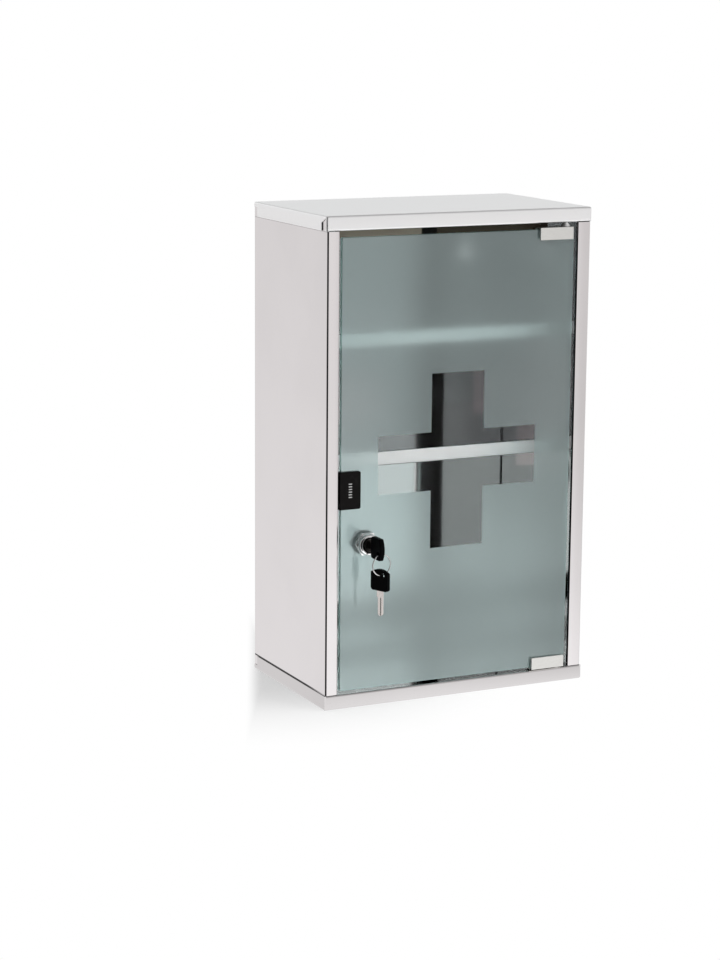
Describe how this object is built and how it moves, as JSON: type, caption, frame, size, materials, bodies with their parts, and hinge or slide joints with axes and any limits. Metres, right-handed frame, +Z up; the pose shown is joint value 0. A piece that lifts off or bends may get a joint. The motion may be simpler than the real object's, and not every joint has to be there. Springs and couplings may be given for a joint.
{
  "type": "glass door medicine cabinet",
  "caption": "Wall-hung stainless medicine cabinet: frosted glass door with a clear cross on clamp hinges, cam lock with keys on a ring, sprung push latch and folded shelves.",
  "frame": {"origin": "middle of the back face, on the wall plane", "axes": "+Z up, +Y into the wall, +X to the right seen from the front"},
  "size_m": [0.3, 0.2192, 0.5],
  "materials": {
    "stainless_sheet": "polished stainless sheet, satin shelf lips",
    "frosted_glass": "frosted on the front face, clear cross, polished edges",
    "hinge_satin": "satin nickel",
    "bright_metal": "polished",
    "lock_plug_metal": "dark polished",
    "black_coat": "black coated",
    "key_plastic": "black",
    "nylon": "natural",
    "rubber": "matt",
    "latch_plastic": "grey",
    "magnet": "sintered"
  },
  "bodies": {
    "carcass": {"body_wrap": "stainless_sheet", "top_pan": "stainless_sheet", "bottom_pan": "stainless_sheet", "upper_shelf": "stainless_sheet", "lower_shelf": "stainless_sheet", "upper_pivot_sleeve": "nylon", "lower_pivot_sleeve": "nylon", "latch_bracket": "stainless_sheet", "latch_housing": "latch_plastic", "latch_spring": "bright_metal", "latch_screw_1": "bright_metal", "latch_screw_2": "bright_metal"},
    "push_plunger": {"latch_plunger": "latch_plastic", "latch_magnet": "magnet"},
    "door": {"glass_pane": "frosted_glass", "upper_hinge_block": "hinge_satin", "lower_hinge_block": "hinge_satin", "upper_pivot_pin": "bright_metal", "lower_pivot_pin": "bright_metal", "upper_clamp_screw_1": "bright_metal", "upper_clamp_screw_2": "bright_metal", "lower_clamp_screw_1": "bright_metal", "lower_clamp_screw_2": "bright_metal", "upper_front_pad": "rubber", "upper_rear_pad": "rubber", "lower_front_pad": "rubber", "lower_rear_pad": "rubber", "strike_clip": "black_coat", "lock_housing": "bright_metal", "lock_collar": "bright_metal", "lock_gasket": "rubber", "lock_washer": "rubber", "lock_nut": "bright_metal"},
    "plug": {"lock_plug": "lock_plug_metal", "lock_cam": "stainless_sheet", "cam_screw": "bright_metal"},
    "key": {"key_head": "key_plastic", "key_blade": "bright_metal"},
    "ring": {"key_ring": "bright_metal"},
    "spare_key": {"spare_key_head": "key_plastic", "spare_key_blade": "bright_metal"}
  },
  "joints": [
    {"name": "door_hinge", "type": "hinge", "parent": "carcass", "child": "door", "pos_m": [0.122, -0.174, 0], "axis": [0, 0, 1], "range_deg": [0, 110]},
    {"name": "push_latch", "type": "slide", "parent": "carcass", "child": "push_plunger", "axis": [0, 1, 0], "range_m": [0, 0.004], "stiffness_N_per_m": 250, "deforming": ["latch_spring"]},
    {"name": "lock_turn", "type": "hinge", "parent": "door", "child": "plug", "pos_m": [-0.1048, -0.177, -0.08], "axis": [0, 1, 0], "range_deg": [0, 90]},
    {"name": "key_slide", "type": "slide", "parent": "plug", "child": "key", "axis": [0, -1, 0], "range_m": [0, 0.03]},
    {"name": "ring_swing", "type": "hinge", "parent": "key", "child": "ring", "pos_m": [-0.1048, -0.213, -0.08535], "axis": [0.9752, 0.1371, 0.1736], "range_deg": [-30, 15]},
    {"name": "spare_key_swing", "type": "hinge", "parent": "ring", "child": "spare_key", "pos_m": [-0.1003, -0.21237, -0.10583], "axis": [0.9565, 0.1344, 0.2588], "range_deg": [-30, 15]}
  ]
}
